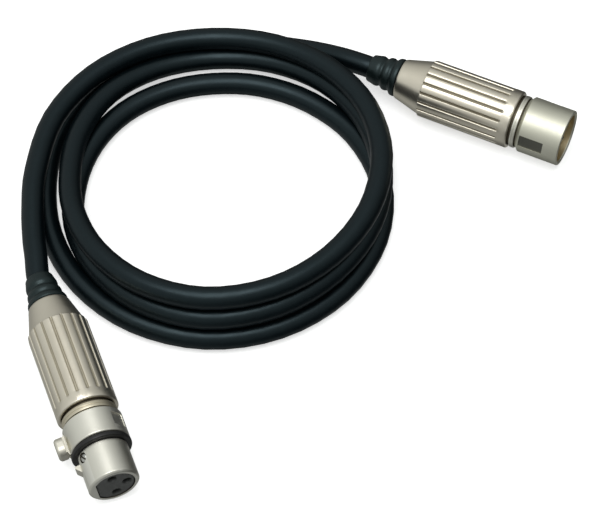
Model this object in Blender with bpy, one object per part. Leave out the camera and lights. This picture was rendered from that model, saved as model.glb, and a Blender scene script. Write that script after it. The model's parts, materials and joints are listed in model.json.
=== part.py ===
"""A coiled balanced microphone cable with a three-pin male and a three-contact female connector.

Each connector is drawn along its own axis: a station t is the distance back from its nose, and the
nose points along the local +X. The male axis lies along the row's +X and the female axis 45 degrees
clockwise from it. Driving dimensions are in millimetres and are turned into metres on the way out.
"""

import math

import bmesh
import bpy
from mathutils import Matrix, Vector

MM = 0.001
GAP = 0.3

# Layout seen from above, measured from the centre of the coil.
ORIGIN_FROM_COIL = (33.76, -24.95)
MALE_NOSE = (100.8, 61.9)
FEMALE_NOSE = (25.7, -116.3)
MALE_HEADING = 0.0
FEMALE_HEADING = -45.0
AXIS_HEIGHT = 9.8

# Cable and coil.
CABLE_R = 3.7
COIL_SECTION = ((41.5, 0.0), (60.2, 0.0), (60.2, 21.0), (53.5, 21.0), (49.0, 14.0), (42.0, 10.5))
COIL_SIDES = 72
FEMALE_LEAD = ((-30.3, -60.3, 9.8), (-31.0, -59.6, 9.8), (-32.3, -57.8, 9.9), (-33.9, -55.1, 10.0))
MALE_LEAD = (
    (30.1, 61.9, 9.8), (28.1, 61.95, 9.7), (24.8, 62.1, 9.4), (21.6, 62.2, 9.0), (18.4, 62.3, 8.5),
    (16.9, 62.4, 8.1))

# Backshell, the same on both connectors, from its own front face.
BACKSHELL_LENGTH = 41.5
BACKSHELL_R = 9.8
RIBS = 18
RIB_START = 3.5
RIB_END = 31.9
GROOVE_R = 9.3
GROOVE_HALF_DEG = 2.6
GROOVE_WALL_DEG = 0.7
MOUTH_R = 6.9
BACKSHELL_BORE_R = 8.5
MOUTH_BORE_R = 5.6

# Front shells.
SPIGOT_R = 8.2
SHELL_R = 9.5
CONTACT_CIRCLE_R = 4.0
MALE_BACKSHELL_FRONT = 18.0
FEMALE_BACKSHELL_FRONT = 26.5
WINDOW_DEG = 31.0
KEY_DEG = 144.0
PANEL_DEG = 167.0
COLLAR_PANEL_DEG = 37.0
LATCH_DEG = 186.5
SCREW_DEG = 146.0

# Latch.
PIVOT_T = 20.5
PIVOT_R = 7.4
LEVER_HALF_WIDTH = 2.0
SLOT_HALF_WIDTH = 2.5
CHANNEL_HALF_WIDTH = 2.35
CHANNEL_FLOOR_R = 3.4
TAB_FRONT_T = 15.0
TAB_BACK_T = 21.4
TAB_UNDER_R = 10.1
TAB_TOP_R = 12.95
TAB_HALF_WIDTH = 3.4
TAB_CORNER = 2.5
TAB_EDGE = 1.1


def clear_scene():
    for obj in list(bpy.data.objects):
        bpy.data.objects.remove(obj, do_unlink=True)


def material(name, color, metallic, roughness):
    mat = bpy.data.materials.get(name)
    if mat:
        return mat
    mat = bpy.data.materials.new(name)
    mat.use_nodes = True
    shader = mat.node_tree.nodes["Principled BSDF"]
    shader.inputs["Base Color"].default_value = (*color, 1.0)
    shader.inputs["Metallic"].default_value = metallic
    shader.inputs["Roughness"].default_value = roughness
    mat.diffuse_color = (*color, 1.0)
    return mat


def connector_matrix(nose, heading):
    """Local millimetres to world metres: local +X points out of the nose, +Z is up."""
    at = Vector((nose[0] - ORIGIN_FROM_COIL[0], nose[1] - ORIGIN_FROM_COIL[1], AXIS_HEIGHT)) * MM
    return Matrix.Translation(at) @ Matrix.Rotation(math.radians(heading), 4, "Z")


def side(matrix, degrees, t=0.0, r=0.0):
    """A frame whose +Z points away from the connector's axis at this angle, up from local +Y."""
    turned = matrix @ Matrix.Rotation(math.radians(degrees - 90.0), 4, "X")
    return turned @ Matrix.Translation(Vector((-t, 0.0, r)) * MM)


def mesh_object(name, points, faces, matrix, mat):
    """A closed mesh from points in local millimetres, its normals turned outwards."""
    mesh = bpy.data.meshes.new(name)
    mesh.from_pydata([Vector(p) * MM for p in points], [], faces)
    bm = bmesh.new()
    bm.from_mesh(mesh)
    bmesh.ops.recalc_face_normals(bm, faces=bm.faces)
    if bm.calc_volume(signed=True) < 0:
        bmesh.ops.reverse_faces(bm, faces=bm.faces)
    bm.to_mesh(mesh)
    bm.free()
    obj = bpy.data.objects.new(name, mesh)
    obj.matrix_world = matrix
    bpy.context.collection.objects.link(obj)
    if mat:
        mesh.materials.append(mat)
    return obj


def lathe(name, profile, matrix, mat, sides=40, along="X"):
    """Turns (t, r) points. A profile that starts and ends on the axis is solid, any other is a ring."""
    solid = profile[0][1] == 0.0 and profile[-1][1] == 0.0
    points = []
    rings = []
    for t, r in profile:
        ring = []
        for i in range(1 if r == 0.0 else sides):
            a = 2.0 * math.pi * i / sides
            across = (r * math.cos(a), r * math.sin(a))
            ring.append(len(points))
            points.append((-t, *across) if along == "X" else (*across, t))
        rings.append(ring)
    faces = []
    count = len(rings) - 1 if solid else len(rings)
    for k in range(count):
        a, b = rings[k], rings[(k + 1) % len(rings)]
        for i in range(sides):
            j = (i + 1) % sides
            face = [a[i % len(a)], a[j % len(a)], b[j % len(b)], b[i % len(b)]]
            faces.append(list(dict.fromkeys(face)))
    return mesh_object(name, points, faces, matrix, mat)


def prism(name, outline, low, high, matrix, mat):
    """An outline of (x, z) points, drawn out along Y from low to high."""
    n = len(outline)
    points = [(x, y, z) for y in (low, high) for x, z in outline]
    faces = [list(range(n)), list(range(2 * n - 1, n - 1, -1))]
    for i in range(n):
        j = (i + 1) % n
        faces.append([i, j, n + j, n + i])
    return mesh_object(name, points, faces, matrix, mat)


def box(name, x, y, z, matrix, mat=None):
    return prism(name, [(x[0], z[0]), (x[1], z[0]), (x[1], z[1]), (x[0], z[1])], y[0], y[1], matrix, mat)


def tube(name, points, radius, mat, resolution=2):
    """A round cable through world points in metres, with flat closed ends."""
    curve = bpy.data.curves.new(name, "CURVE")
    curve.dimensions = "3D"
    curve.bevel_depth = radius * MM
    curve.bevel_resolution = resolution
    curve.use_fill_caps = True
    spline = curve.splines.new("POLY")
    spline.points.add(len(points) - 1)
    for target, point in zip(spline.points, points):
        target.co = (*point, 1.0)
    obj = bpy.data.objects.new(name, curve)
    bpy.context.collection.objects.link(obj)
    curve.materials.append(mat)
    return obj


def combine(target, tool, operation="DIFFERENCE"):
    tool.hide_render = True
    tool.display_type = "WIRE"
    tool.name = "tool_" + tool.name
    modifier = target.modifiers.new(tool.name, "BOOLEAN")
    modifier.operation = operation
    modifier.solver = "EXACT"
    modifier.object = tool


def drill(target, profile, matrix, circle, mat_name="hole"):
    """Cuts one turned hole for each contact angle."""
    for degrees in circle:
        hole = lathe(f"{target.name}_{mat_name}_{degrees:.0f}", profile, at_contact(matrix, degrees), None, 16)
        combine(target, hole)


def at_contact(matrix, degrees):
    a = math.radians(degrees)
    offset = Vector((0.0, math.cos(a), math.sin(a))) * CONTACT_CIRCLE_R * MM
    return matrix @ Matrix.Translation(offset)


def contact_angles(latch_degrees):
    return (latch_degrees + 90.0, latch_degrees - 90.0, latch_degrees + 180.0)


def in_world(matrix, points):
    return [matrix @ (Vector(p) * MM) for p in points]


def from_coil(points):
    shift = Vector((*ORIGIN_FROM_COIL, 0.0))
    return [(Vector(p) - shift) * MM for p in points]


def backshell(name, front, matrix, mat):
    """The ribbed sleeve: wide lands with narrow grooves, ending in a square step above the taper."""
    pitch = 360.0 / RIBS
    inner, outer = GROOVE_HALF_DEG - GROOVE_WALL_DEG, GROOVE_HALF_DEG
    angles = []
    for k in range(RIBS):
        middle = k * pitch
        angles += [(middle - outer, "edge"), (middle - inner, "floor"), (middle + inner, "floor")]
        angles += [(middle + outer, "edge"), (middle + pitch / 2.0, "crown")]
    plain = {"edge": 0.0, "floor": 0.0, "crown": 0.0}
    ribbed = {"edge": -0.1, "floor": GROOVE_R - BACKSHELL_R, "crown": 0.0}
    end = BACKSHELL_LENGTH
    stations = (
        (0.0, BACKSHELL_R - 0.5, plain),
        (0.5, BACKSHELL_R, plain),
        (RIB_START - 0.3, BACKSHELL_R, plain),
        (RIB_START + 0.3, BACKSHELL_R, ribbed),
        (RIB_END - 0.05, BACKSHELL_R, ribbed),
        (RIB_END + 0.05, GROOVE_R - 0.02, plain),
        (end - 4.0, MOUTH_R + 0.8, plain),
        (end - 0.5, MOUTH_R, plain),
        (end, MOUTH_R - 0.4, plain),
    )
    points = []
    for t, radius, change in stations:
        for degrees, kind in angles:
            a = math.radians(degrees)
            r = radius + change[kind]
            points.append((-(front + t), r * math.cos(a), r * math.sin(a)))
    n = len(angles)
    rows = len(stations)
    faces = [list(range(n)), list(range((rows - 1) * n, rows * n))]
    for k in range(rows - 1):
        for i in range(n):
            j = (i + 1) % n
            faces.append([k * n + i, k * n + j, (k + 1) * n + j, (k + 1) * n + i])
    sleeve = mesh_object(name, points, faces, matrix, mat)
    bore = (
        (front - 1.0, 0.0),
        (front - 1.0, BACKSHELL_BORE_R),
        (front + 26.0, BACKSHELL_BORE_R),
        (front + end - 2.0, MOUTH_BORE_R),
        (front + end + 1.0, MOUTH_BORE_R),
        (front + end + 1.0, 0.0),
    )
    combine(sleeve, lathe(name + "_bore", bore, matrix, None, 36))
    return sleeve


def strain_relief(prefix, front, chuck_start, matrix, mats):
    """Chuck, rubber boot and the cable inside them, behind a backshell that starts at front."""
    jaw_end = front + 31.0
    chuck = lathe(prefix + "_chuck", (
        (chuck_start, 6.0), (chuck_start, 7.1), (jaw_end - 1.0, 7.1), (jaw_end, 6.4),
        (jaw_end, 4.0), (front + 18.0, 4.0), (front + 16.0, 6.0)), matrix, mats["chuck"], 32)
    for degrees in (45.0, 135.0):
        slit = box(f"{prefix}_slit_{degrees:.0f}", (-jaw_end - 1.0, -jaw_end + 9.0), (-0.4, 0.4),
                   (-8.0, 8.0), side(matrix, degrees))
        combine(chuck, slit)
    mouth = front + BACKSHELL_LENGTH
    base = mouth + GAP
    boot_end = mouth + 11.0
    lathe(prefix + "_boot", (
        (mouth - 7.5, 4.0), (mouth - 7.5, 5.8), (mouth - 4.6, 5.8), (mouth - 4.0, 5.3), (base, 5.3),
        (base, 6.3), (base + 0.4, 6.5), (base + 1.6, 6.4), (base + 2.4, 5.5), (base + 2.9, 5.4),
        (base + 3.6, 5.65), (base + 5.0, 5.5), (base + 5.7, 4.8), (base + 6.2, 4.75),
        (base + 6.9, 5.2), (base + 8.2, 5.0), (boot_end - 0.6, 4.6), (boot_end, 4.4),
        (boot_end, 4.0)), matrix, mats["boot"], 28)
    cable_start = front + 19.5
    lathe(prefix + "_cable_end", ((cable_start, 0.0), (cable_start, CABLE_R), (boot_end - 0.1, CABLE_R),
                                  (boot_end - 0.1, 0.0)), matrix, mats["cable"], 20)
    return cable_start


def wires(prefix, cable_start, cup_end, latch_degrees, matrix, mats):
    for number, degrees in enumerate(contact_angles(latch_degrees), 1):
        a = math.radians(degrees)
        path = []
        steps = 9
        for k in range(steps):
            share = k / (steps - 1.0)
            ease = share * share * (3.0 - 2.0 * share)
            t = cable_start - 0.3 + (cup_end - 1.5 - cable_start + 0.3) * share
            r = 1.6 + (CONTACT_CIRCLE_R - 1.6) * ease
            path.append((-t, r * math.cos(a), r * math.sin(a)))
        # Both ends run straight, so that the wire enters its cup and leaves the jacket square.
        path[1] = (path[1][0], path[0][1], path[0][2])
        path[-2] = (path[-2][0], path[-1][1], path[-1][2])
        tube(f"{prefix}_wire_{number}", in_world(matrix, path), 0.55, mats[f"wire_{number}"], 1)


def male_connector(mats):
    m = connector_matrix(MALE_NOSE, MALE_HEADING)
    shell = lathe("male_shell", (
        (0.0, 8.45), (0.0, 9.2), (0.3, SHELL_R), (14.1, SHELL_R), (15.2, SPIGOT_R), (26.0, SPIGOT_R),
        (26.0, 7.4), (14.7, 7.4), (14.7, 6.9), (12.0, 6.9), (12.0, 8.2), (0.3, 8.2)), m, mats["nickel"], 48)
    window = side(m, WINDOW_DEG)
    combine(shell, box("male_window", (-9.3, -5.0), (-1.8, 1.8), (6.5, 11.0), window))
    combine(shell, box("male_lead_in", (-4.5, 1.0), (-1.8, 1.8), (6.0, 8.75), window))
    combine(shell, box("male_key", (-1.6, 1.0), (-0.9, 0.9), (7.0, 8.9), side(m, KEY_DEG)))
    combine(shell, box("male_panel", (-13.7, -5.4), (-2.2, 2.2), (9.0, 11.0), side(m, PANEL_DEG)))
    insert = lathe("male_insert", (
        (12.0, 0.0), (12.0, 6.6), (15.0, 6.6), (15.0, 7.1), (19.0, 7.1), (19.0, 0.0)), m, mats["black"], 32)
    drill(insert, ((11.0, 0.0), (11.0, 1.5), (16.0, 1.5), (16.0, 2.0), (20.0, 2.0), (20.0, 0.0)), m,
          contact_angles(WINDOW_DEG))
    for number, degrees in enumerate(contact_angles(WINDOW_DEG), 1):
        lathe(f"pin_{number}", (
            (1.6, 0.0), (1.75, 0.6), (2.3, 1.05), (3.0, 1.2), (16.3, 1.2), (16.3, 1.7), (17.6, 1.7),
            (17.6, 1.3), (23.5, 1.3), (23.5, 0.9), (20.5, 0.9), (20.5, 0.0)), at_contact(m, degrees),
            mats["contact"], 14)
    lathe("male_neck_ring", (
        (15.6, 8.5), (15.6, 8.85), (16.1, 8.95), (16.35, 8.8), (16.6, 8.95), (17.1, 8.85), (17.1, 8.5)),
        m, mats["ring"], 40)
    backshell("male_backshell", MALE_BACKSHELL_FRONT, m, mats["sleeve"])
    cable_start = strain_relief("male", MALE_BACKSHELL_FRONT, 19.3, m, mats)
    wires("male", cable_start, 23.5, WINDOW_DEG, m, mats)


def half_moon(radius, chord, sides=28):
    """A circle in (y, z) with the part above the chord taken off."""
    start = math.acos(chord / radius)
    points = []
    for k in range(sides + 1):
        a = start + (2.0 * math.pi - 2.0 * start) * k / sides
        points.append((radius * math.sin(a), radius * math.cos(a)))
    return points


def axial_prism(name, outline, t_low, t_high, matrix):
    """An outline of (y, z) points, drawn out along the connector's axis."""
    n = len(outline)
    points = [(-t, y, z) for t in (t_low, t_high) for y, z in outline]
    faces = [list(range(n)), list(range(2 * n - 1, n - 1, -1))]
    for i in range(n):
        j = (i + 1) % n
        faces.append([i, j, n + j, n + i])
    return mesh_object(name, points, faces, matrix, None)


def female_connector(mats):
    m = connector_matrix(FEMALE_NOSE, FEMALE_HEADING)
    latch = side(m, LATCH_DEG)
    shell = lathe("female_shell", (
        (0.0, 3.5), (0.0, 7.5), (0.5, 8.0), (11.9, 8.0), (11.9, 7.3), (14.0, 7.3), (14.0, 9.2),
        (14.3, SHELL_R), (22.7, SHELL_R), (23.0, 9.2), (23.0, SPIGOT_R), (34.0, SPIGOT_R), (34.0, 7.4),
        (21.8, 7.4), (21.8, 6.8), (2.0, 6.8), (2.0, 3.5)), m, mats["bright"], 48)
    combine(shell, axial_prism("female_mouth", half_moon(6.5, 5.4), -1.0, 2.4, latch))
    combine(shell, box("female_slot", (-22.4, -5.9), (-SLOT_HALF_WIDTH, SLOT_HALF_WIDTH), (4.5, 11.0), latch))
    combine(shell, box("collar_panel", (-20.9, -16.4), (-2.6, 2.6), (8.98, 11.0), side(m, COLLAR_PANEL_DEG)))
    pivot = side(m, LATCH_DEG, PIVOT_T, PIVOT_R)
    turned = pivot @ Matrix.Rotation(math.radians(90.0), 4, "Z")
    combine(shell, lathe("female_pin_hole", ((-4.0, 0.0), (-4.0, 1.05), (4.0, 1.05), (4.0, 0.0)),
                         turned, None, 16))
    screw = side(m, SCREW_DEG, 10.0)
    down = screw @ Matrix.Rotation(math.radians(90.0), 4, "Y")
    combine(shell, lathe("female_screw_hole", (
        (6.0, 0.0), (6.0, 1.1), (7.1, 1.1), (7.1, 1.65), (9.0, 1.65), (9.0, 0.0)), down, None, 24))

    lathe("female_front_ring", (
        (12.2, 7.6), (12.2, 9.3), (12.45, 9.55), (13.45, 9.55), (13.7, 9.3), (13.7, 7.6)), m,
        mats["black"], 44)
    insert = lathe("female_insert", (
        (0.2, 0.0), (0.2, 6.2), (2.3, 6.2), (2.3, 6.5), (21.6, 6.5), (21.6, 0.0)), m, mats["dark"], 36)
    combine(insert, box("insert_flat", (-3.0, 1.0), (-8.0, 8.0), (5.1, 8.0), latch))
    combine(insert, box("insert_channel", (-22.0, -2.4), (-CHANNEL_HALF_WIDTH, CHANNEL_HALF_WIDTH),
                        (CHANNEL_FLOOR_R, 8.0), latch))
    seat = side(m, LATCH_DEG, 13.5) @ Matrix.Rotation(math.radians(90.0), 4, "Y")
    combine(insert, lathe("spring_seat", ((2.4, 0.0), (2.4, 1.6), (4.0, 1.6), (4.0, 0.0)), seat, None, 16))
    combine(insert, lathe("insert_screw_hole", ((5.6, 0.0), (5.6, 1.1), (7.5, 1.1), (7.5, 0.0)),
                          down, None, 16))
    drill(insert, ((-1.0, 0.0), (-1.0, 1.4), (2.0, 1.4), (2.0, 1.9), (22.5, 1.9), (22.5, 0.0)), m,
          contact_angles(LATCH_DEG))
    for number, degrees in enumerate(contact_angles(LATCH_DEG), 1):
        lathe(f"socket_contact_{number}", (
            (16.0, 0.0), (16.0, 1.25), (2.4, 1.25), (2.4, 1.45), (2.7, 1.6), (20.0, 1.6), (20.0, 1.3),
            (25.5, 1.3), (25.5, 0.9), (22.5, 0.9), (22.5, 0.0)), at_contact(m, degrees),
            mats["contact"], 14)
    head = lathe("female_insert_screw", (
        (5.9, 0.0), (5.9, 0.6), (6.1, 0.8), (7.4, 0.8), (7.4, 1.3), (7.65, 1.3), (7.75, 1.2), (7.75, 0.0)),
        down, mats["steel"], 20)
    combine(head, box("screw_slot", (-2.0, 2.0), (-0.2, 0.2), (7.5, 9.0),
                      screw @ Matrix.Rotation(math.radians(35.0), 4, "Z")))

    latch_parts(m, pivot, turned, mats)
    lathe("female_neck_ring", (
        (23.5, 8.5), (23.5, 8.8), (24.35, 8.95), (24.55, 8.8), (24.75, 8.95), (25.6, 8.8), (25.6, 8.5)),
        m, mats["ring"], 40)
    backshell("female_backshell", FEMALE_BACKSHELL_FRONT, m, mats["sleeve"])
    cable_start = strain_relief("female", FEMALE_BACKSHELL_FRONT, 22.7, m, mats)
    wires("female", cable_start, 25.5, LATCH_DEG, m, mats)


def lever_outline():
    """Side view of the lever in (x, z) from its pivot: eye, stem, arm and hook."""
    points = []
    for k in range(9):
        a = math.radians(-60.0 - 20.0 * k)
        points.append((1.65 * math.cos(a), 1.65 * math.sin(a)))
    arm_top = 6.9 - PIVOT_R
    arm_low = 5.3 - PIVOT_R
    points += [(-1.4, 1.0), (-0.4, 3.2), (-0.4, 4.4), (4.9, 4.4), (4.9, 2.3), (6.1, 2.0), (6.1, 1.0), (5.4, arm_top)]
    points += [(PIVOT_T - 10.1, arm_top), (PIVOT_T - 9.8, 8.9 - PIVOT_R), (PIVOT_T - 9.6, 9.4 - PIVOT_R)]
    points += [(PIVOT_T - 9.2, 9.4 - PIVOT_R), (PIVOT_T - 6.9, 7.4 - PIVOT_R), (PIVOT_T - 6.4, 7.0 - PIVOT_R)]
    points += [(PIVOT_T - 6.4, arm_low)]
    points += [(2.0, arm_low)]
    return points


def thumb_tab(matrix):
    """A round-cornered pad, wider than the slot, standing clear of the collar."""
    low, high = TAB_UNDER_R - PIVOT_R, TAB_TOP_R - PIVOT_R
    back, front = PIVOT_T - TAB_BACK_T, PIVOT_T - TAB_FRONT_T
    plan = []
    for x, y, first in ((front, 1.0, 0.0), (back, 1.0, 90.0), (back, -1.0, 180.0), (front, -1.0, 270.0)):
        inward = -TAB_CORNER if x == front else TAB_CORNER
        for k in range(5):
            a = math.radians(first + 22.5 * k)
            plan.append((x + inward + TAB_CORNER * math.cos(a),
                         y * (TAB_HALF_WIDTH - TAB_CORNER) + TAB_CORNER * math.sin(a)))
    n = len(plan)
    points = [(x, y, z) for z in (low, high) for x, y in plan]
    faces = [list(range(n)), list(range(2 * n - 1, n - 1, -1))]
    faces += [[i, (i + 1) % n, n + (i + 1) % n, n + i] for i in range(n)]
    pad = mesh_object("thumb_tab", points, faces, matrix, None)
    bm = bmesh.new()
    bm.from_mesh(pad.data)
    rim = [edge for edge in bm.edges if min(vert.co.z for vert in edge.verts) > high * MM - 1e-6]
    bmesh.ops.bevel(bm, geom=rim, offset=TAB_EDGE * MM, segments=3, profile=0.5, affect="EDGES")
    bmesh.ops.recalc_face_normals(bm, faces=bm.faces)
    bm.to_mesh(pad.data)
    bm.free()
    return pad


def latch_parts(m, pivot, turned, mats):
    width = LEVER_HALF_WIDTH
    lever = prism("latch_lever", lever_outline(), -width, width, pivot, mats["latch"])
    combine(lever, thumb_tab(pivot), "UNION")
    combine(lever, lathe("lever_eye", ((-3.0, 0.0), (-3.0, 1.1), (3.0, 1.1), (3.0, 0.0)), turned, None, 16))
    lathe("latch_pin", ((-3.75, 0.0), (-3.75, 0.8), (3.75, 0.8), (3.75, 0.0)), turned, mats["steel"], 16)
    seat = side(m, LATCH_DEG, 13.5)
    turns = 3
    per_turn = 9
    low, high = 2.95, 4.75
    path = []
    for k in range(turns * per_turn + 1):
        a = 2.0 * math.pi * k / per_turn
        z = low + (high - low) * k / (turns * per_turn)
        path.append((1.05 * math.cos(a), 1.05 * math.sin(a), z))
    tube("latch_spring", in_world(seat, path), 0.2, mats["steel"], 1)


def cable(mats):
    centre = Matrix.Translation(Vector((-ORIGIN_FROM_COIL[0], -ORIGIN_FROM_COIL[1], 0.0)) * MM)
    profile = [(z, r) for r, z in COIL_SECTION]
    lathe("cable_coil", profile, centre, mats["cable"], COIL_SIDES, along="Z")
    tube("female_lead", from_coil(FEMALE_LEAD), CABLE_R, mats["cable"], 3)
    tube("male_lead", from_coil(MALE_LEAD), CABLE_R, mats["cable"], 3)


def main():
    clear_scene()
    mats = {
        "nickel": material("satin_nickel", (0.62, 0.60, 0.54), 1.0, 0.3),
        "bright": material("bright_nickel", (0.72, 0.71, 0.68), 1.0, 0.28),
        "sleeve": material("sleeve_nickel", (0.58, 0.56, 0.49), 1.0, 0.32),
        "ring": material("pale_ring", (0.80, 0.76, 0.66), 0.6, 0.4),
        "latch": material("latch_metal", (0.78, 0.76, 0.70), 0.7, 0.35),
        "contact": material("silver_contact", (0.85, 0.83, 0.78), 1.0, 0.2),
        "steel": material("steel", (0.6, 0.6, 0.6), 1.0, 0.25),
        "black": material("black_plastic", (0.02, 0.02, 0.025), 0.0, 0.45),
        "dark": material("dark_insert", (0.08, 0.08, 0.085), 0.0, 0.5),
        "chuck": material("chuck_plastic", (0.10, 0.10, 0.10), 0.0, 0.5),
        "boot": material("boot_rubber", (0.02, 0.02, 0.022), 0.0, 0.55),
        "cable": material("cable_jacket", (0.02, 0.022, 0.03), 0.0, 0.4),
        "wire_1": material("wire_screen", (0.55, 0.50, 0.40), 0.8, 0.4),
        "wire_2": material("wire_red", (0.45, 0.04, 0.03), 0.0, 0.45),
        "wire_3": material("wire_white", (0.75, 0.75, 0.72), 0.0, 0.45),
    }
    male_connector(mats)
    female_connector(mats)
    cable(mats)


main()
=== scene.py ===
import json
import math

import bmesh
import bpy
from mathutils import Matrix, Vector

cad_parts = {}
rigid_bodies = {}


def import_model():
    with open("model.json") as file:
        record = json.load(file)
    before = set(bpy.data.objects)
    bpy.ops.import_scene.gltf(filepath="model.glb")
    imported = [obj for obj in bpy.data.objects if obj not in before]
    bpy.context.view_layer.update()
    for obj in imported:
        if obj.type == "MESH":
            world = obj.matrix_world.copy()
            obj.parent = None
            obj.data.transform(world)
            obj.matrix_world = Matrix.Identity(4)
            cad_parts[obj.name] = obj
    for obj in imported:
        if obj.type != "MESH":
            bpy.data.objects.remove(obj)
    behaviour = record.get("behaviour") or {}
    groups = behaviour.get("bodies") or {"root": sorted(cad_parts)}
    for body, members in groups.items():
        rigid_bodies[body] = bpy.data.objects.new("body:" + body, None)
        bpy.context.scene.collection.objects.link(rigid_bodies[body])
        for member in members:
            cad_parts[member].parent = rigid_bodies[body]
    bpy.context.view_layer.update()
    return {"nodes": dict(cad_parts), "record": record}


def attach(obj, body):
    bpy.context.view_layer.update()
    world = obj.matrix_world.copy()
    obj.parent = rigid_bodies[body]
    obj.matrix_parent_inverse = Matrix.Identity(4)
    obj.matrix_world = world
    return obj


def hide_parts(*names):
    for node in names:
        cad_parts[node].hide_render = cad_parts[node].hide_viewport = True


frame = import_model()
MM = 0.001

# Layout, as in the CAD: millimetres from the centre of the coil, and the way each nose points in degrees.
ORIGIN_FROM_COIL = Vector((33.76, -24.95, 0.0))
MALE_NOSE = (100.8, 61.9)
MALE_HEADING = 0.0
FEMALE_NOSE = (25.7, -116.3)
FEMALE_HEADING = -45.0
AXIS_HEIGHT = 9.8

# Angles around each connector's axis, in degrees up from local +Y.
WINDOW_DEG = 31.0
KEY_DEG = 144.0
PANEL_DEG = 167.0
COLLAR_PANEL_DEG = 37.0
LATCH_DEG = 186.5
SCREW_DEG = 146.0

# Sizes in millimetres. T is a distance back from the nose, R and FLOOR are distances from the axis.
SHELL_R = 9.5
NOSE_R = 8.0
SPIGOT_R = 8.2
SLEEVE_R = 9.8
BORE_R = 8.5
SLEEVE_LENGTH = 41.5
MALE_SLEEVE_T = 18.0
FEMALE_SLEEVE_T = 26.5
PANEL_FLOOR = 9.02
COLLAR_PANEL_FLOOR = 8.98
CONTACT_CIRCLE_R = 4.0
SCREW_T = 10.0
SCREW_RECESS_R = 1.65
SCREW_SLOT_FLOOR = 7.5
HINGE_T = 20.5
HINGE_R = 7.4
LEVER_EYE_R = 1.65
TAB_EDGE = 1.1
CABLE_R = 3.7

# The ribs around a sleeve, and the turn of the slot in the screw's head.
RIB_COUNT = 18
RIB_PITCH_DEG = 360.0 / RIB_COUNT
SCREW_SLOT_DEG = 35.0

# Sides of the turned shapes.
SHELL_SIDES = 160
CONTACT_SIDES = 40

# A profile's corner is cut back by this share of its shorter side at most, and curved in these steps. It stays
# sharp beside a side shorter than SHORTEST_SOFT_SIDE (millimetres), or past STRAIGHT_ANGLE (radians).
SOFT_STEPS = 3
SOFT_SHARE = 0.42
SHORTEST_SOFT_SIDE = 0.05
STRAIGHT_ANGLE = 3.0

# Edges sharper than this are bevelled.
BEVEL_FROM_DEG = 38.0

# Grain of the materials.
METAL_CLOUD_SCALE = 90.0
METAL_STREAK_SCALE = 500.0
METAL_STREAK_STRETCH = (6.0, 1.0, 1.0)
METAL_GRAIN_SCALE = 2600.0
METAL_GRAIN_STRENGTH = 0.05
METAL_GRAIN_DEPTH = 0.00004
WORN_EDGE = (0.52, 0.6)
PLASTIC_GRAIN_DEPTH = 0.00006

# Camera: a long lens, looking down at the cable.
LENS_MM = 147.1
CAMERA_DISTANCE = 0.8
CAMERA_ELEVATION = 56.0
CAMERA_TURN = 24.9
CAMERA_TARGET = (0.00660, 0.01138, 0.0)

# The cable's centre line. The coil is read every eighth of a turn as (radius, height).
FEMALE_START = ((-30.09, -60.51, 9.8), (-31.2, -59.3, 9.8), (-33.0, -56.6, 9.9), (-35.3, -52.9, 10.0),
                (-38.9, -47.6, 10.1), (-44.7, -37.6, 10.4))
COIL_START_DEG = 204.9
COIL_QUARTERS = 13
POINTS_PER_TURN = 16
CABLE_STEPS = 4
COIL_EIGHTHS = (
    (56.3, 10.6), (55.4, 11.1), (55.6, 10.2), (55.8, 14.4), (56.2, 18.6), (55.5, 18.6), (54.6, 18.2),
    (48.9, 14.9), (45.0, 11.0), (48.2, 7.8), (52.0, 3.9), (54.4, 7.6), (56.4, 11.1), (57.2, 11.2),
    (57.2, 10.9), (50.3, 7.6), (43.6, 3.7), (41.1, 3.7), (41.3, 3.7), (47.1, 3.7), (56.3, 3.7),
    (60.5, 3.7), (60.1, 3.7), (56.5, 3.7), (53.6, 3.7), (56.4, 3.7), (59.6, 3.7), (60.5, 3.7))
MALE_END = ((-12.1, 59.1, 3.7), (-1.2, 61.7, 4.2), (9.4, 62.7, 6.2), (19.5, 62.3, 8.7),
            (27.4, 62.0, 9.7), (30.4, 61.9, 9.8))

# The key light: metres to the camera's right, away from the camera and up, then its side and its watts.
KEY_PLACE = (-0.12, -0.14, 1.1)
KEY_SIZE = 0.7
KEY_POWER = 5.2

# The floor: half its side in metres, and the strength of its own light.
FLOOR_HALF = 4.0
FLOOR_GLOW = 0.55

# The room's brightness from straight down (0) over the horizon (0.5) to straight up (1).
SKY_FRONT_LEFT = ((0.0, 0.06), (0.085, 0.38), (0.3, 0.40), (0.5, 0.54), (0.7, 0.66), (1.0, 0.68))
SKY_BACK_RIGHT = ((0.0, 0.05), (0.085, 0.36), (0.2, 0.05), (0.35, 0.02), (0.5, 0.05), (0.7, 0.30),
                  (1.0, 0.68))
BRIGHT_SIDE = (-0.85, -0.53, 0.0)
BRIGHT_FROM = -0.4


# ---------------------------------------------------------------- materials

def shader_tree(name):
    mat = bpy.data.materials.new(name)
    mat.use_nodes = True
    tree = mat.node_tree
    return mat, tree, tree.nodes["Principled BSDF"]


def mapped_noise(tree, scale, stretch=(1.0, 1.0, 1.0), detail=3.0):
    coords = tree.nodes.new("ShaderNodeTexCoord")
    mapping = tree.nodes.new("ShaderNodeMapping")
    mapping.inputs["Scale"].default_value = stretch
    noise = tree.nodes.new("ShaderNodeTexNoise")
    noise.inputs["Scale"].default_value = scale
    noise.inputs["Detail"].default_value = detail
    tree.links.new(coords.outputs["Object"], mapping.inputs["Vector"])
    tree.links.new(mapping.outputs["Vector"], noise.inputs["Vector"])
    return noise.outputs["Fac"]


def ramp(tree, fac, low, high, start=0.3, end=0.7):
    """A colour ramp between two colours, or two greys given as numbers."""
    node = tree.nodes.new("ShaderNodeValToRGB")
    for element, value, at in zip(node.color_ramp.elements, (low, high), (start, end)):
        element.position = at
        rgb = value if isinstance(value, tuple) else (value,) * 3
        element.color = (*rgb, 1.0)
    tree.links.new(fac, node.inputs["Fac"])
    return node.outputs["Color"]


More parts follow.
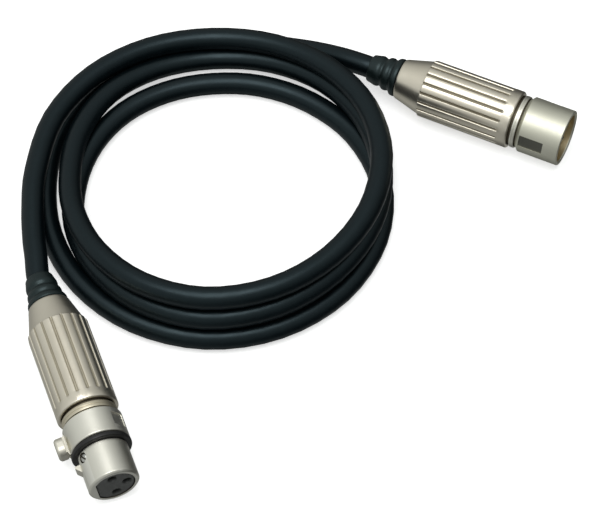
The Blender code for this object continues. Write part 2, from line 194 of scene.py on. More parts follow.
def bump(tree, shader, height, strength, distance):
    node = tree.nodes.new("ShaderNodeBump")
    node.inputs["Strength"].default_value = strength
    node.inputs["Distance"].default_value = distance
    tree.links.new(height, node.inputs["Height"])
    tree.links.new(node.outputs["Normal"], shader.inputs["Normal"])


def metal(name, dark, light, rough_low, rough_high, worn=None):
    """Satin plate: cloudy tone and fine blasted grain, with polished edges where a worn colour is given."""
    mat, tree, shader = shader_tree(name)
    shader.inputs["Metallic"].default_value = 1.0
    cloud = mapped_noise(tree, METAL_CLOUD_SCALE, detail=4.0)
    tone = ramp(tree, cloud, dark, light)
    if worn:
        geometry = tree.nodes.new("ShaderNodeNewGeometry")
        edge = ramp(tree, geometry.outputs["Pointiness"], 0.0, 1.0, *WORN_EDGE)
        mix = tree.nodes.new("ShaderNodeMix")
        mix.data_type = "RGBA"
        tree.links.new(edge, mix.inputs["Factor"])
        tree.links.new(tone, mix.inputs["A"])
        mix.inputs["B"].default_value = (*worn, 1.0)
        tone = mix.outputs["Result"]
    tree.links.new(tone, shader.inputs["Base Color"])
    streak = mapped_noise(tree, METAL_STREAK_SCALE, METAL_STREAK_STRETCH, detail=2.0)
    tree.links.new(ramp(tree, streak, rough_low, rough_high), shader.inputs["Roughness"])
    grain = mapped_noise(tree, METAL_GRAIN_SCALE, detail=2.0)
    bump(tree, shader, grain, METAL_GRAIN_STRENGTH, METAL_GRAIN_DEPTH)
    return mat


def plastic(name, dark, light, rough_low, rough_high, scale=900.0, strength=0.2, shine=0.5,
            shine_tint=(1.0, 1.0, 1.0)):
    """Moulded plastic or rubber: a fine pebbled surface with broader changes of gloss."""
    mat, tree, shader = shader_tree(name)
    fine = mapped_noise(tree, scale, detail=4.0)
    tree.links.new(ramp(tree, fine, dark, light), shader.inputs["Base Color"])
    broad = mapped_noise(tree, scale / 6.0, detail=3.0)
    tree.links.new(ramp(tree, broad, rough_low, rough_high), shader.inputs["Roughness"])
    shader.inputs["Specular IOR Level"].default_value = shine
    shader.inputs["Specular Tint"].default_value = (*shine_tint, 1.0)
    bump(tree, shader, fine, strength, PLASTIC_GRAIN_DEPTH)
    return mat


def stranded(name, dark, light):
    """Twisted bare copper: diagonal bands along the wire."""
    mat, tree, shader = shader_tree(name)
    shader.inputs["Metallic"].default_value = 1.0
    shader.inputs["Roughness"].default_value = 0.35
    coords = tree.nodes.new("ShaderNodeTexCoord")
    wave = tree.nodes.new("ShaderNodeTexWave")
    wave.bands_direction = "DIAGONAL"
    wave.inputs["Scale"].default_value = 900.0
    wave.inputs["Distortion"].default_value = 0.4
    tree.links.new(coords.outputs["Object"], wave.inputs["Vector"])
    tree.links.new(ramp(tree, wave.outputs["Fac"], dark, light), shader.inputs["Base Color"])
    bump(tree, shader, wave.outputs["Fac"], 0.5, 0.0001)
    return mat


def make_materials():
    return {
        "nickel": metal("look_nickel", (0.71, 0.70, 0.59), (0.76, 0.75, 0.64), 0.46, 0.52,
                        worn=(0.95, 0.93, 0.84)),
        "bright_nickel": metal("look_bright_nickel", (0.86, 0.84, 0.75), (0.90, 0.88, 0.79), 0.36, 0.42,
                               worn=(0.98, 0.96, 0.88)),
        "sleeve_nickel": metal("look_sleeve", (0.79, 0.73, 0.61), (0.85, 0.79, 0.67), 0.31, 0.37,
                               worn=(0.95, 0.91, 0.80)),
        # Painted shade for the sleeves' grooves: paler on the female sleeve and darker on the male, for the
        # different light that falls on each of the same part.
        "female_groove_painted_shade": metal("look_pale_groove", (0.45, 0.41, 0.32), (0.51, 0.47, 0.37), 0.45, 0.55),
        "male_groove_painted_shade": metal("look_dark_groove", (0.19, 0.17, 0.12), (0.24, 0.21, 0.16), 0.45, 0.55),
        "neck_shadow": metal("look_neck_shadow", (0.10, 0.085, 0.06), (0.13, 0.11, 0.08), 0.5, 0.6),
        "window_shadow": metal("look_window", (0.15, 0.15, 0.13), (0.20, 0.20, 0.17), 0.4, 0.5),
        "inner_nickel": metal("look_inner", (0.62, 0.52, 0.32), (0.70, 0.59, 0.38), 0.36, 0.44),
        "pale_ring": metal("look_neck_ring", (0.68, 0.62, 0.48), (0.74, 0.68, 0.54), 0.40, 0.46),
        "latch_metal": metal("look_latch", (0.76, 0.73, 0.64), (0.81, 0.78, 0.69), 0.46, 0.52),
        "silver_contact": metal("look_contact", (0.74, 0.66, 0.48), (0.82, 0.74, 0.56), 0.2, 0.28),
        "steel": metal("look_steel", (0.70, 0.70, 0.66), (0.80, 0.80, 0.76), 0.26, 0.34),
        "black_plastic": plastic("look_black_plastic", (0.006, 0.006, 0.006), (0.010, 0.010, 0.010),
                                 0.40, 0.48),
        "dark_insert": plastic("look_insert", (0.030, 0.032, 0.030), (0.042, 0.044, 0.042), 0.45, 0.6),
        "chuck_plastic": plastic("look_chuck", (0.07, 0.07, 0.07), (0.10, 0.10, 0.10), 0.45, 0.6),
        "boot_rubber": plastic("look_boot", (0.003, 0.006, 0.006), (0.006, 0.010, 0.010), 0.34, 0.42,
                               scale=1400.0, shine=0.52, shine_tint=(0.74, 0.96, 1.0)),
        "cable_jacket": plastic("look_jacket", (0.0005, 0.0016, 0.0025), (0.001, 0.003, 0.004), 0.32, 0.40,
                                scale=1100.0, strength=0.08, shine=0.39, shine_tint=(0.67, 0.91, 1.0)),
        "wire_screen": stranded("look_screen", (0.42, 0.34, 0.22), (0.75, 0.68, 0.55)),
        "wire_red": plastic("look_wire_red", (0.38, 0.03, 0.02), (0.46, 0.05, 0.03), 0.3, 0.4),
        "wire_white": plastic("look_wire_white", (0.66, 0.66, 0.63), (0.76, 0.76, 0.73), 0.3, 0.4),
    }


# ---------------------------------------------------------------- mesh tools

def connector_matrix(nose, heading):
    """The connector's frame: its nose at the origin and pointing along +X."""
    at = (Vector((*nose, AXIS_HEIGHT)) - ORIGIN_FROM_COIL) * MM
    return Matrix.Translation(at) @ Matrix.Rotation(math.radians(heading), 4, "Z")


def outward(degrees):
    """The direction away from the connector's axis at this angle, up from local +Y."""
    a = math.radians(degrees)
    return Vector((0.0, math.cos(a), math.sin(a)))


def side(matrix, degrees, t=0.0, r=0.0):
    """A frame whose +Z points away from the connector's axis at this angle, up from local +Y."""
    turned = matrix @ Matrix.Rotation(math.radians(degrees - 90.0), 4, "X")
    return turned @ Matrix.Translation(Vector((-t, 0.0, r)) * MM)


def mesh_object(name, points, faces, matrix):
    """A closed mesh from points in millimetres, with its faces turned outwards."""
    mesh = bpy.data.meshes.new(name)
    mesh.from_pydata([Vector(p) * MM for p in points], [], faces)
    bm = bmesh.new()
    bm.from_mesh(mesh)
    bmesh.ops.recalc_face_normals(bm, faces=bm.faces)
    if bm.calc_volume(signed=True) < 0:
        bmesh.ops.reverse_faces(bm, faces=bm.faces)
    bm.to_mesh(mesh)
    bm.free()
    obj = bpy.data.objects.new(name, mesh)
    obj.matrix_world = matrix
    bpy.context.collection.objects.link(obj)
    return obj


def softened(profile, size):
    """The profile with each corner away from the axis rounded by a short curve."""
    out = []
    n = len(profile)
    for k, point in enumerate(profile):
        here = Vector(point)
        before = Vector(profile[k - 1])
        after = Vector(profile[(k + 1) % n])
        a, b = before - here, after - here
        if here.y == 0.0 or min(a.length, b.length) < SHORTEST_SOFT_SIDE or a.angle(b) > STRAIGHT_ANGLE:
            out.append(tuple(here))
            continue
        cut = min(size, SOFT_SHARE * a.length, SOFT_SHARE * b.length)
        first, last = here + a.normalized() * cut, here + b.normalized() * cut
        for i in range(SOFT_STEPS + 1):
            s = i / SOFT_STEPS
            out.append(tuple(first * (1 - s) ** 2 + here * 2 * s * (1 - s) + last * s * s))
    return out


def lathe(name, profile, matrix, sides=128, soft=0.0):
    """Turns (t, r) points about the connector's axis. One that starts and ends on the axis is solid."""
    solid = profile[0][1] == 0.0 and profile[-1][1] == 0.0
    if soft:
        profile = softened(profile, soft)
    points, rings = [], []
    for t, r in profile:
        row = []
        for i in range(1 if r == 0.0 else sides):
            a = 2.0 * math.pi * i / sides
            row.append(len(points))
            points.append((-t, r * math.cos(a), r * math.sin(a)))
        rings.append(row)
    faces = []
    for k in range(len(rings) - 1 if solid else len(rings)):
        a, b = rings[k], rings[(k + 1) % len(rings)]
        for i in range(sides):
            j = (i + 1) % sides
            corners = [a[i % len(a)], a[j % len(a)], b[j % len(b)], b[i % len(b)]]
            faces.append(list(dict.fromkeys(corners)))
    return mesh_object(name, points, faces, matrix)


def between(name, first, last, matrix):
    """The closed solid between two copies of one outline."""
    n = len(first)
    faces = [list(range(n)), list(range(2 * n - 1, n - 1, -1))]
    for i in range(n):
        j = (i + 1) % n
        faces.append([i, j, n + j, n + i])
    return mesh_object(name, first + last, faces, matrix)


def prism(name, outline, low, high, matrix):
    """Extrudes an outline of (x, z) points along y."""
    first, last = ([(x, y, z) for x, z in outline] for y in (low, high))
    return between(name, first, last, matrix)


def box(name, x, y, z, matrix):
    return prism(name, [(x[0], z[0]), (x[1], z[0]), (x[1], z[1]), (x[0], z[1])], y[0], y[1], matrix)


def combine(target, tool, operation="DIFFERENCE"):
    """Adds a boolean with the tool, which finished() applies and then removes."""
    modifier = target.modifiers.new(tool.name, "BOOLEAN")
    modifier.operation = operation
    modifier.solver = "EXACT"
    modifier.object = tool
    target["tools"] = list(target.get("tools", [])) + [tool.name]


def at_contact(matrix, degrees):
    """The connector's frame moved out to the contact at this angle."""
    return matrix @ Matrix.Translation(outward(degrees) * CONTACT_CIRCLE_R * MM)


def contact_angles(latch_degrees):
    """Three contacts, a quarter turn apart, with none on the latch's side."""
    return (latch_degrees + 90.0, latch_degrees - 90.0, latch_degrees + 180.0)


def finished(obj, mat, node, body="cable", edge=0.0, angle=35.0):
    """Applies the modifiers, softens sharp edges, shades it and puts it in place of its CAD node."""
    if edge:
        bevel = obj.modifiers.new("edge", "BEVEL")
        bevel.width = edge * MM
        bevel.segments = 2
        bevel.limit_method = "ANGLE"
        bevel.angle_limit = math.radians(BEVEL_FROM_DEG)
    bpy.context.view_layer.update()
    graph = bpy.context.evaluated_depsgraph_get()
    mesh = bpy.data.meshes.new_from_object(obj.evaluated_get(graph))
    tools = list(obj.get("tools", []))
    obj.modifiers.clear()
    obj.data = mesh
    for name in tools:
        bpy.data.objects.remove(bpy.data.objects[name], do_unlink=True)
    if "tools" in obj:
        del obj["tools"]
    mesh.shade_smooth()
    mesh.set_sharp_from_angle(angle=math.radians(angle))
    obj.modifiers.new("normals", "WEIGHTED_NORMAL").keep_sharp = True
    mesh.materials.clear()
    mesh.materials.append(LOOKS[mat])
    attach(obj, body)
    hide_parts(node)
    return obj


def tint(obj, look, test):
    """Gives a second look to the faces whose (t, r, centre in millimetres) pass the test."""
    obj.data.materials.append(LOOKS[look])
    slot = len(obj.data.materials) - 1
    for face in obj.data.polygons:
        centre = face.center / MM
        if test(-centre.x, math.hypot(centre.y, centre.z), centre):
            face.material_index = slot
    return obj


# ---------------------------------------------------------------- sleeves, boots and rings

def rib_samples():
    """(degrees from the groove's middle, radius change) across one rib, groove first."""
    half = ((0.0, -0.5), (1.2, -0.5), (1.8, -0.46), (2.2, -0.32), (2.6, -0.16), (3.1, -0.10), (4.2, -0.065),
            (6.0, -0.03), (8.0, -0.008))
    left = [(-d, r) for d, r in reversed(half[1:])]
    return left + list(half) + [(0.5 * RIB_PITCH_DEG, 0.0)]


def sleeve_stations():
    """(distance back from the front, radius, share of the grooves' depth), outside first, then the bore."""
    front_rim = [(0.35, BORE_R, 0.0), (0.0, 8.7, 0.0), (0.0, 9.15, 0.0), (0.05, 9.45, 0.0), (0.2, 9.65, 0.0),
                 (0.5, SLEEVE_R, 0.0), (2.0, SLEEVE_R, 0.0), (3.1, SLEEVE_R, 0.0)]
    ribs = [(3.3, SLEEVE_R, 0.15), (3.5, SLEEVE_R, 0.5), (3.7, SLEEVE_R, 0.85), (3.9, SLEEVE_R, 1.0),
            (12.0, SLEEVE_R, 1.0), (22.0, SLEEVE_R, 1.0), (31.4, SLEEVE_R, 1.0), (31.7, 9.77, 1.0),
            (31.84, 9.68, 0.8), (31.9, 9.55, 0.5), (31.93, 9.33, 0.05)]
    taper = [(32.1, 9.26, 0.0), (34.0, 8.75, 0.0), (36.0, 8.2, 0.0), (38.0, 7.66, 0.0), (39.8, 7.18, 0.0),
             (40.6, 6.97, 0.0), (41.0, 6.86, 0.0), (41.35, 6.7, 0.0)]
    mouth = [(SLEEVE_LENGTH, 6.45, 0.0), (SLEEVE_LENGTH, 5.9, 0.0), (41.3, 5.6, 0.0), (39.5, 5.6, 0.0)]
    bore = [(26.0, BORE_R, 0.0), (0.6, BORE_R, 0.0)]
    return front_rim + ribs + taper + mouth + bore


def backshell(name, front, matrix, node, groove):
    around = []
    for k in range(RIB_COUNT):
        around += [(k * RIB_PITCH_DEG + d, change) for d, change in rib_samples()]
    stations = sleeve_stations()
    points = []
    for t, radius, share in stations:
        for degrees, change in around:
            a = math.radians(degrees)
            r = radius + change * share
            points.append((-(front + t), r * math.cos(a), r * math.sin(a)))
    n = len(around)
    faces = []
    for k in range(len(stations)):
        m = (k + 1) % len(stations)
        for i in range(n):
            j = (i + 1) % n
            faces.append([k * n + i, k * n + j, m * n + j, m * n + i])
    sleeve = finished(mesh_object(name, points, faces, matrix), "sleeve_nickel", node, angle=50.0)
    # The faces down in the grooves take the groove look: painted shade in the grooves.
    return tint(sleeve, groove, lambda t, r, _: 3.6 < t - front < 31.92 and 9.0 < r < 9.42)


def boot(name, mouth, matrix, node):
    """A rubber boot: a flanged foot inside the sleeve, then two swellings that shrink to the cable."""
    base = mouth + 0.3
    inside = [(mouth - 7.5, 4.0), (mouth - 7.5, 5.8), (mouth - 4.6, 5.8), (mouth - 4.0, 5.3), (base, 5.3)]
    lip = [(0.0, 6.25), (0.15, 6.45), (0.5, 6.52), (1.2, 6.48), (1.7, 6.3), (2.1, 5.9), (2.4, 5.5)]
    first_swelling = [(2.75, 5.36), (3.1, 5.4), (3.4, 5.55), (3.8, 5.66), (4.4, 5.64), (4.9, 5.5),
                      (5.3, 5.15), (5.6, 4.85)]
    second_swelling = [(5.95, 4.76), (6.3, 4.85), (6.7, 5.08), (7.2, 5.2), (7.9, 5.15), (8.6, 4.95),
                       (9.5, 4.75), (10.2, 4.6)]
    end = [(10.5, 4.5), (10.65, 4.35), (10.7, 4.15), (10.6, 3.98), (10.0, 3.95)]
    outside = [(base + t, r) for t, r in lip + first_swelling + second_swelling + end]
    return finished(lathe(name, inside + outside, matrix, 96), "boot_rubber", node, angle=60.0)


def neck_ring(name, start, end, matrix, node, look):
    """A ring with a fine groove turned around its middle."""
    middle = 0.5 * (start + end)
    left = [(start, 8.5), (start, 8.88), (middle - 0.14, 8.95), (middle - 0.04, 8.78)]
    right = [(middle + 0.04, 8.78), (middle + 0.14, 8.95), (end, 8.88), (end, 8.5)]
    ring = lathe(name, left + right, matrix, 128, soft=0.08)
    return finished(ring, look, node, angle=40.0)


# ---------------------------------------------------------------- male connector

def male_shell(m):
    shell = lathe("male_shell_look", (
        (0.0, 8.55), (0.0, 9.3), (0.25, SHELL_R), (14.0, SHELL_R), (15.2, SPIGOT_R), (26.0, SPIGOT_R),
        (26.0, 7.4), (14.7, 7.4), (14.7, 6.9), (12.0, 6.9), (12.0, 8.2), (0.35, 8.2)),
        m, SHELL_SIDES, soft=0.15)
    window = side(m, WINDOW_DEG)
    combine(shell, box("t_window", (-9.3, -5.0), (-1.8, 1.8), (6.5, 11.0), window))
    combine(shell, box("t_lead_in", (-4.5, 1.0), (-1.8, 1.8), (6.0, 8.75), window))
    combine(shell, box("t_key", (-1.6, 1.0), (-0.9, 0.9), (7.0, 8.9), side(m, KEY_DEG)))
    combine(shell, box("t_panel", (-13.7, -5.4), (-2.2, 2.2), (PANEL_FLOOR, 11.0), side(m, PANEL_DEG)))
    finished(shell, "nickel", "male_shell", edge=0.1)
    tint(shell, "inner_nickel", lambda t, r, _: 0.6 < t < 12.1 and r < 8.25)
    out = outward(PANEL_DEG)
    low, high = PANEL_FLOOR - 0.07, PANEL_FLOOR + 0.08
    tint(shell, "window_shadow", lambda t, r, at: 5.3 < t < 13.8 and low < at.dot(out) < high and r < 9.4)
    tint(shell, "neck_shadow", lambda t, r, _: t > 15.1 and 8.1 < r < 8.25)


def male_insert(m):
    insert = lathe("male_insert_look", (
        (12.0, 0.0), (12.0, 6.6), (15.0, 6.6), (15.0, 7.1), (19.0, 7.1), (19.0, 0.0)), m, 96, soft=0.12)
    hole = ((11.0, 0.0), (11.0, 1.5), (16.0, 1.5), (16.0, 2.0), (20.0, 2.0), (20.0, 0.0))
    for number, degrees in enumerate(contact_angles(WINDOW_DEG), 1):
        combine(insert, lathe(f"t_hole_{number}", hole, at_contact(m, degrees), CONTACT_SIDES))
    finished(insert, "black_plastic", "male_insert", edge=0.08)


def pins(m):
    """Solid pins with rounded tips, a collar in the insert and a solder cup."""
    profile = ((1.6, 0.0), (1.63, 0.3), (1.75, 0.62), (2.05, 0.93), (2.5, 1.12), (3.1, 1.2), (16.3, 1.2),
               (16.3, 1.7), (17.6, 1.7), (17.6, 1.3), (23.5, 1.3), (23.5, 0.9), (20.5, 0.9), (20.5, 0.0))
    for number, degrees in enumerate(contact_angles(WINDOW_DEG), 1):
        pin = lathe(f"pin_{number}_look", profile, at_contact(m, degrees), CONTACT_SIDES)
        finished(pin, "silver_contact", f"pin_{number}")


def male_connector():
    m = connector_matrix(MALE_NOSE, MALE_HEADING)
    male_shell(m)
    male_insert(m)
    pins(m)
    neck_ring("male_neck_ring_look", 15.6, 17.1, m, "male_neck_ring", "bright_nickel")
    # The male sleeve's grooves take the darker painted shade.
    backshell("male_backshell_look", MALE_SLEEVE_T, m, "male_backshell", "male_groove_painted_shade")
    boot("male_boot_look", MALE_SLEEVE_T + SLEEVE_LENGTH, m, "male_boot")


# ---------------------------------------------------------------- female connector

def half_moon(radius, chord):
    """A circle's outline with the part beyond a chord, at this distance from the centre, cut away."""
    start = math.acos(chord / radius)
    sides = 64
    points = []
    for k in range(sides + 1):
        a = start + (2.0 * math.pi - 2.0 * start) * k / sides
        points.append((radius * math.sin(a), radius * math.cos(a)))
    return points


def female_shell(m, latch, screw):
    shell = lathe("female_shell_look", (
        (0.0, 3.5), (0.0, 7.4), (0.6, NOSE_R), (11.9, NOSE_R), (11.9, 7.3), (14.0, 7.3), (14.0, 9.15),
        (14.35, SHELL_R), (22.65, SHELL_R), (23.0, 9.15), (23.0, SPIGOT_R), (34.0, SPIGOT_R), (34.0, 7.4),
        (21.8, 7.4), (21.8, 6.8), (2.0, 6.8), (2.0, 3.5)), m, SHELL_SIDES, soft=0.15)
    mouth = half_moon(6.5, 5.4)
    first, last = ([(-t, y, z) for y, z in mouth] for t in (-1.0, 2.4))
    combine(shell, between("t_mouth", first, last, latch))
    combine(shell, box("t_slot", (-22.4, -5.9), (-2.5, 2.5), (4.5, 11.0), latch))
    panel = side(m, COLLAR_PANEL_DEG)
    combine(shell, box("t_collar_panel", (-20.9, -16.4), (-2.6, 2.6), (COLLAR_PANEL_FLOOR, 11.0), panel))
    hole = ((6.0, 0.0), (6.0, 1.1), (7.1, 1.1), (7.1, SCREW_RECESS_R), (9.0, SCREW_RECESS_R), (9.0, 0.0))
    combine(shell, lathe("t_screw", hole, screw, 48))
    finished(shell, "bright_nickel", "female_shell", edge=0.1)
    up = outward(SCREW_DEG)
    screw_at = Vector((-SCREW_T, 0.0, 0.0))

    def in_neck_or_mouth(t, r, _):
        return (t > 22.9 and 8.1 < r < 8.25) or (0.3 < t < 2.2 and r < 6.6)

    def in_screw_recess(_, r, at):
        height = at.dot(up)
        across = (at - up * height - screw_at).length
        return r < 7.95 and across < SCREW_RECESS_R + 0.05 and height > 6.5

    tint(shell, "neck_shadow", in_neck_or_mouth)
    tint(shell, "neck_shadow", in_screw_recess)


def front_ring(m):
    ring = lathe("female_front_ring_look", (
        (12.2, 7.6), (12.2, 9.2), (12.35, 9.45), (12.6, 9.56), (13.3, 9.56), (13.55, 9.45), (13.7, 9.2),
        (13.7, 7.6)), m, 128, soft=0.05)
    finished(ring, "black_plastic", "female_front_ring", angle=60.0)


def female_insert(m, latch):
    insert = lathe("female_insert_look", (
        (0.2, 0.0), (0.2, 6.2), (2.3, 6.2), (2.3, 6.5), (21.6, 6.5), (21.6, 0.0)), m, 96, soft=0.1)
    combine(insert, box("t_flat", (-3.0, 1.0), (-8.0, 8.0), (5.1, 8.0), latch))
    combine(insert, box("t_channel", (-22.0, -2.4), (-2.35, 2.35), (3.4, 8.0), latch))
    entry = ((-1.0, 0.0), (-1.0, 1.95), (0.2, 1.6), (0.5, 1.4), (2.0, 1.4), (2.0, 1.9), (22.5, 1.9),
             (22.5, 0.0))
    for number, degrees in enumerate(contact_angles(LATCH_DEG), 1):
        combine(insert, lathe(f"t_entry_{number}", entry, at_contact(m, degrees), CONTACT_SIDES))
    finished(insert, "dark_insert", "female_insert", edge=0.06)


def sockets(m):
    """Hollow contacts with a lip at the front and a solder cup behind."""
    profile = ((16.0, 0.0), (16.0, 1.25), (2.4, 1.25), (2.4, 1.45), (2.7, 1.6), (20.0, 1.6), (20.0, 1.3),
               (25.5, 1.3), (25.5, 0.9), (22.5, 0.9), (22.5, 0.0))
    for number, degrees in enumerate(contact_angles(LATCH_DEG), 1):
        contact = lathe(f"socket_contact_{number}_look", profile, at_contact(m, degrees), CONTACT_SIDES)
        finished(contact, "silver_contact", f"socket_contact_{number}")


def insert_screw(across, along):
    """A cheese-head screw. Its profile is turned in the frame that looks along the screw."""
    head = lathe("female_insert_screw_look", (
        (5.9, 0.0), (5.9, 0.6), (6.1, 0.8), (7.4, 0.8), (7.4, 1.3), (7.62, 1.3), (7.74, 1.15), (7.78, 0.0)),
        along, 48, soft=0.05)
    turned = across @ Matrix.Rotation(math.radians(SCREW_SLOT_DEG), 4, "Z")
    combine(head, box("t_screw_slot", (-2.0, 2.0), (-0.26, 0.26), (SCREW_SLOT_FLOOR, 9.0), turned))
    finished(head, "steel", "female_insert_screw")
    tint(head, "neck_shadow", lambda t, r, _: SCREW_SLOT_FLOOR - 0.05 < t < SCREW_SLOT_FLOOR + 0.06)


def thumb_tab(matrix):
    """A round-cornered pad with its top edge turned over."""
    low, high, back, front, half, corner = 2.7, 5.55, -0.9, 5.5, 3.4, 2.5
    plan = []
    for x, y, start in ((front, 1.0, 0.0), (back, 1.0, 90.0), (back, -1.0, 180.0), (front, -1.0, 270.0)):
        inward = -corner if x == front else corner
        for k in range(13):
            a = math.radians(start + 7.5 * k)
            plan.append((x + inward + corner * math.cos(a), y * (half - corner) + corner * math.sin(a)))
    first, last = ([(x, y, z) for x, y in plan] for z in (low, high))
    pad = between("t_tab", first, last, matrix)
    bm = bmesh.new()
    bm.from_mesh(pad.data)
    rim = [edge for edge in bm.edges if min(vert.co.z for vert in edge.verts) > (high - 0.001) * MM]
    bmesh.ops.bevel(bm, geom=rim, offset=TAB_EDGE * MM, segments=8, profile=0.5, affect="EDGES")
    bmesh.ops.recalc_face_normals(bm, faces=bm.faces)
    bm.to_mesh(pad.data)
    bm.free()
    return pad


def latch_lever(pivot):
    """The lever, from the hinge forwards: eye, stem up to the pad, arm, and hook with its ramp."""
    eye = []
    for k in range(17):
        a = math.radians(-60.0 - 10.0 * k)
        eye.append((LEVER_EYE_R * math.cos(a), LEVER_EYE_R * math.sin(a)))
    stem = [(-1.4, 1.0), (-0.4, 3.2), (-0.4, 4.4), (4.9, 4.4), (4.9, 2.3), (6.1, 2.0), (6.1, 1.0)]
    arm_top = [(5.4, -0.5), (10.4, -0.5)]
    hook = [(10.7, 1.5), (10.9, 2.0), (11.3, 2.0), (13.6, 0.0), (14.1, -0.4)]
    underside = [(14.1, -2.1), (2.0, -2.1)]
    lever = prism("latch_lever_look", eye + stem + arm_top + hook + underside, -2.0, 2.0, pivot)
    combine(lever, thumb_tab(pivot), "UNION")
    turned = pivot @ Matrix.Rotation(math.radians(90.0), 4, "Z")
    combine(lever, lathe("t_eye", ((-3.0, 0.0), (-3.0, 1.1), (3.0, 1.1), (3.0, 0.0)), turned, 40))
    return finished(lever, "latch_metal", "latch_lever", body="latch", edge=0.12)


def female_connector():
    m = connector_matrix(FEMALE_NOSE, FEMALE_HEADING)
    latch = side(m, LATCH_DEG)
    screw_across = side(m, SCREW_DEG, SCREW_T)
    screw_along = screw_across @ Matrix.Rotation(math.radians(90.0), 4, "Y")
    female_shell(m, latch, screw_along)
    front_ring(m)
    female_insert(m, latch)
    sockets(m)
    insert_screw(screw_across, screw_along)
    latch_lever(side(m, LATCH_DEG, HINGE_T, HINGE_R))
    neck_ring("female_neck_ring_look", 23.5, 25.6, m, "female_neck_ring", "pale_ring")
    # The female sleeve's grooves take the paler painted shade.
    backshell("female_backshell_look", FEMALE_SLEEVE_T, m, "female_backshell", "female_groove_painted_shade")
    boot("female_boot_look", FEMALE_SLEEVE_T + SLEEVE_LENGTH, m, "female_boot")


# ---------------------------------------------------------------- cable

def catmull(points, steps):
    """A smooth curve through the points, with this many steps between each two."""
    points = [Vector(p) for p in points]
    ends = [points[0] * 2 - points[1]] + points + [points[-1] * 2 - points[-2]]
    out = []
    for i in range(1, len(ends) - 2):
        a, b, c, d = ends[i - 1:i + 3]
        for k in range(steps):
            t = k / steps
            out.append(0.5 * (2 * b + (c - a) * t + (2 * a - 5 * b + 4 * c - d) * t * t
                              + (3 * b - a - 3 * c + d) * t ** 3))
    out.append(points[-1])
    return out


def coil_points():
    """The coil's centre line, from where the female lead joins it, clockwise as seen from above."""
    per_eighth = 64
    dense = catmull(COIL_EIGHTHS, per_eighth)
    count = COIL_QUARTERS * POINTS_PER_TURN // 4
    points = []
    for i in range(count + 1):
        quarter = COIL_QUARTERS * i / count
        r, z = dense[round(quarter * 2 * per_eighth)]
        a = math.radians(COIL_START_DEG - 90.0 * quarter)
        points.append((r * math.cos(a), r * math.sin(a), z))
    return points


def cable():
    """The whole cable as one tube, lifted where the curve would dip below the floor."""
    route = catmull(list(FEMALE_START) + coil_points() + list(MALE_END), CABLE_STEPS)
    line = [(Vector((p.x, p.y, max(p.z, CABLE_R))) - ORIGIN_FROM_COIL) * MM for p in route]
    curve = bpy.data.curves.new("cable", "CURVE")
    curve.dimensions = "3D"
    curve.bevel_depth = CABLE_R * MM
    curve.bevel_resolution = 10
    curve.use_fill_caps = True
    spline = curve.splines.new("POLY")
    spline.points.add(len(line) - 1)
    for target, point in zip(spline.points, line):
        target.co = (*point, 1.0)
    spline.use_smooth = True
    obj = bpy.data.objects.new("cable", curve)
    bpy.context.collection.objects.link(obj)
    curve.materials.append(LOOKS["cable_jacket"])
    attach(obj, "cable")
    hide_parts("cable_coil", "female_lead", "male_lead")


# ---------------------------------------------------------------- stage

def make_camera():
    data = bpy.data.cameras.new("camera")
    data.lens = LENS_MM
    data.sensor_width = 36.0
    data.clip_start = 0.01
    turn, tilt = math.radians(CAMERA_TURN), math.radians(CAMERA_ELEVATION)
    forward = Vector((-math.sin(turn) * math.cos(tilt), math.cos(turn) * math.cos(tilt), -math.sin(tilt)))
    camera = bpy.data.objects.new("camera", data)
    camera.location = Vector(CAMERA_TARGET) - forward * CAMERA_DISTANCE
    camera.rotation_euler = forward.to_track_quat("-Z", "Y").to_euler()
    bpy.context.collection.objects.link(camera)
    bpy.context.scene.camera = camera


def make_floor():
    """A plain white floor, faintly lit from within, that the metal and the jacket don't mirror."""
    mesh = bpy.data.meshes.new("floor")
    half = FLOOR_HALF
    corners = [(-half, -half, 0), (half, -half, 0), (half, half, 0), (-half, half, 0)]
    mesh.from_pydata(corners, [], [(0, 1, 2, 3)])
    floor = bpy.data.objects.new("floor", mesh)
    bpy.context.collection.objects.link(floor)
    mat, _, shader = shader_tree("floor_white")
    shader.inputs["Base Color"].default_value = (0.9, 0.9, 0.9, 1.0)
    shader.inputs["Roughness"].default_value = 0.8
    shader.inputs["Emission Color"].default_value = (1.0, 1.0, 1.0, 1.0)
    shader.inputs["Emission Strength"].default_value = FLOOR_GLOW
    mesh.materials.append(mat)
    floor.visible_glossy = False


def make_key_light():
    """A soft box aimed at the origin, placed as KEY_PLACE says."""
    right, away, up = KEY_PLACE
    turn = math.radians(CAMERA_TURN)
    x = Vector((math.cos(turn), math.sin(turn), 0.0))
    y = Vector((-math.sin(turn), math.cos(turn), 0.0))
    data = bpy.data.lights.new("key", "AREA")
    data.shape = "RECTANGLE"
    data.size = KEY_SIZE
    data.size_y = KEY_SIZE
    data.energy = KEY_POWER
    light = bpy.data.objects.new("key", data)
    light.location = x * right + y * away + Vector((0.0, 0.0, up))
    light.rotation_euler = (-light.location).to_track_quat("-Z", "Y").to_euler()
    bpy.context.collection.objects.link(light)


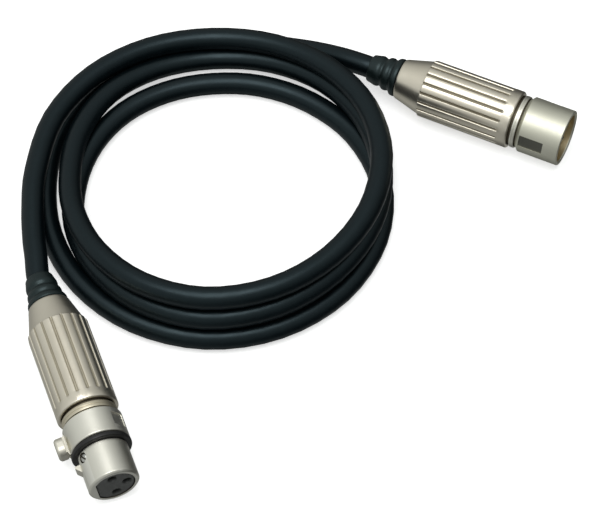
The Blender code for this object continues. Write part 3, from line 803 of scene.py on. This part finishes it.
def sky_ramp(tree, height, stops):
    node = tree.nodes.new("ShaderNodeValToRGB")
    elements = node.color_ramp.elements
    elements[0].position, elements[1].position = stops[0][0], stops[-1][0]
    for position, _ in stops[1:-1]:
        elements.new(position)
    for element, (_, grey) in zip(elements, stops):
        element.color = (0.97 * grey, grey, 0.98 * grey, 1.0)
    tree.links.new(height, node.inputs["Fac"])
    return node.outputs["Color"]


def make_world():
    """A studio that is bright overhead and to the front left, and dark to the back right."""
    world = bpy.data.worlds.new("studio")
    bpy.context.scene.world = world
    world.use_nodes = True
    tree = world.node_tree
    coords = tree.nodes.new("ShaderNodeTexCoord")
    split = tree.nodes.new("ShaderNodeSeparateXYZ")
    tree.links.new(coords.outputs["Generated"], split.inputs["Vector"])
    toward = tree.nodes.new("ShaderNodeVectorMath")
    toward.operation = "DOT_PRODUCT"
    toward.inputs[1].default_value = BRIGHT_SIDE
    tree.links.new(coords.outputs["Generated"], toward.inputs[0])
    shares = []
    for value, start in ((split.outputs["Z"], -1.0), (toward.outputs["Value"], BRIGHT_FROM)):
        share = tree.nodes.new("ShaderNodeMapRange")
        share.inputs["From Min"].default_value = start
        tree.links.new(value, share.inputs["Value"])
        shares.append(share.outputs["Result"])
    mix = tree.nodes.new("ShaderNodeMix")
    mix.data_type = "RGBA"
    tree.links.new(shares[1], mix.inputs["Factor"])
    tree.links.new(sky_ramp(tree, shares[0], SKY_BACK_RIGHT), mix.inputs["A"])
    tree.links.new(sky_ramp(tree, shares[0], SKY_FRONT_LEFT), mix.inputs["B"])
    tree.links.new(mix.outputs["Result"], tree.nodes["Background"].inputs["Color"])


def make_lights():
    bpy.context.scene.view_settings.view_transform = "Standard"
    make_world()
    make_key_light()


# ---------------------------------------------------------------- the scene

for start_object in [o for o in bpy.data.objects if o.name in ("Cube", "Light", "Camera")]:
    bpy.data.objects.remove(start_object, do_unlink=True)
LOOKS = make_materials()
make_camera()
cable()
male_connector()
female_connector()

# Every CAD node takes the look that the record names. The ones that nothing replaces, all inside, stay in view.
slots = {s["node"]: s["material_slot"] for s in frame["record"]["subparts"]}
for node_name, node in frame["nodes"].items():
    node.data.materials.clear()
    node.data.materials.append(LOOKS[slots[node_name]])

make_floor()
make_lights()
